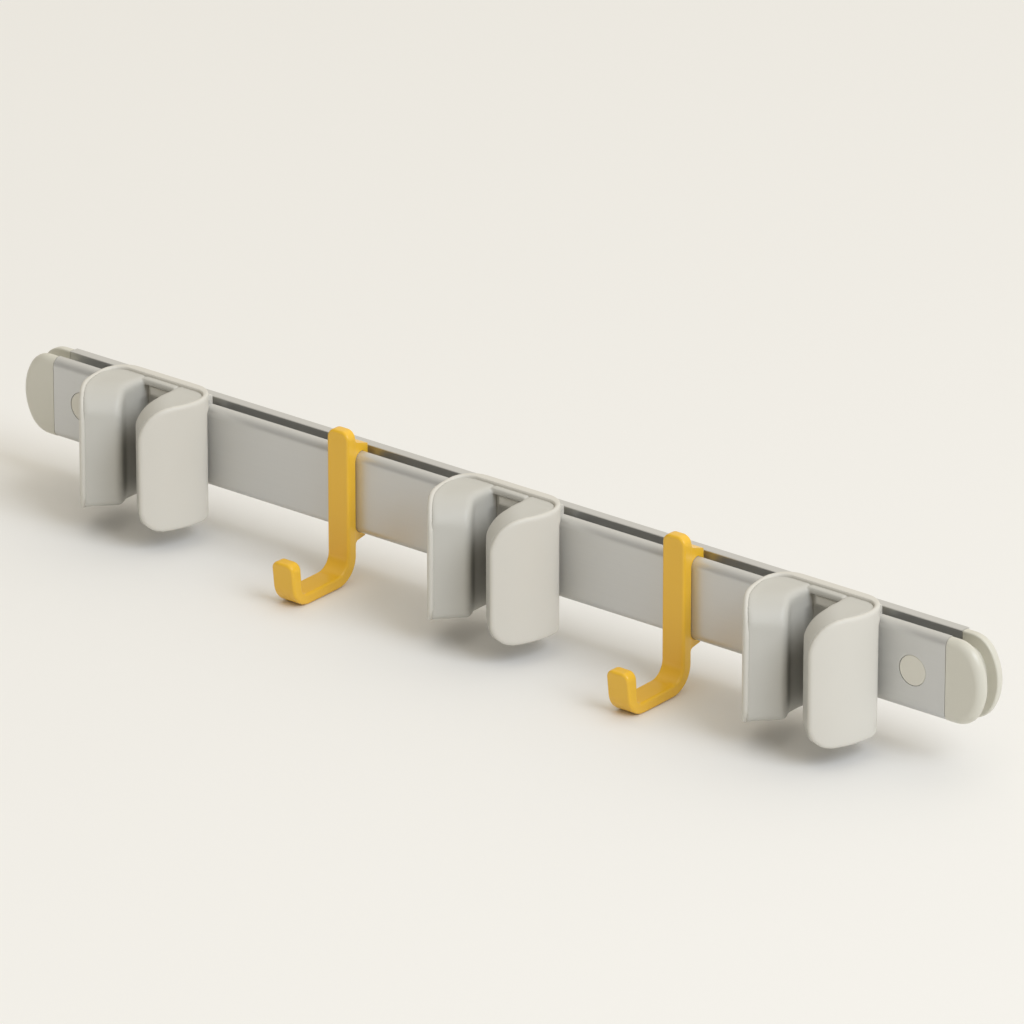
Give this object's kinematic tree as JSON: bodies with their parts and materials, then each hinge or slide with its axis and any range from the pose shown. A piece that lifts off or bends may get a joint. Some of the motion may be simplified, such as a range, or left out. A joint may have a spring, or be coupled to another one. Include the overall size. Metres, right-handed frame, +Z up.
{
  "type": "wall tool organizer",
  "caption": "Wall rail with sliding spring holders that grip tool handles and sliding hooks between them, end caps and covered screw holes.",
  "frame": {"origin": "centre of the rail's back face, midway between the two wall screws, at the rail's mid height", "axes": "+X along the rail to the right seen from the front, +Y into the wall, +Z up"},
  "size_m": [0.8632, 0.0976, 0.1155],
  "materials": {
    "rail": "satin anodised",
    "caps": "fine moulded grain",
    "covers": "fine moulded grain",
    "shells": "satin moulded",
    "grips": "matte soft moulding",
    "hooks": "satin gloss moulded"
  },
  "bodies": {
    "rail_body": {"rail": "rail", "end_cap_left": "caps", "end_cap_right": "caps", "screw_cover_left": "covers", "screw_cover_right": "covers"},
    "left_holder": {"holder_shell_left": "shells", "grip_insert_left": "grips"},
    "middle_holder": {"holder_shell_middle": "shells", "grip_insert_middle": "grips"},
    "right_holder": {"holder_shell_right": "shells", "grip_insert_right": "grips"},
    "left_hook": {"hook_left": "hooks"},
    "right_hook": {"hook_right": "hooks"}
  },
  "joints": [
    {"name": "left_holder_slide", "type": "slide", "parent": "rail_body", "child": "left_holder", "axis": [1, 0, 0], "range_m": [-0.07, 0.054]},
    {"name": "left_hook_slide", "type": "slide", "parent": "rail_body", "child": "left_hook", "axis": [1, 0, 0], "range_m": [-0.054, 0.047]},
    {"name": "middle_holder_slide", "type": "slide", "parent": "rail_body", "child": "middle_holder", "axis": [1, 0, 0], "range_m": [-0.047, 0.0435]},
    {"name": "right_hook_slide", "type": "slide", "parent": "rail_body", "child": "right_hook", "axis": [1, 0, 0], "range_m": [-0.0435, 0.035]},
    {"name": "right_holder_slide", "type": "slide", "parent": "rail_body", "child": "right_holder", "axis": [1, 0, 0], "range_m": [-0.035, 0.06]}
  ]
}
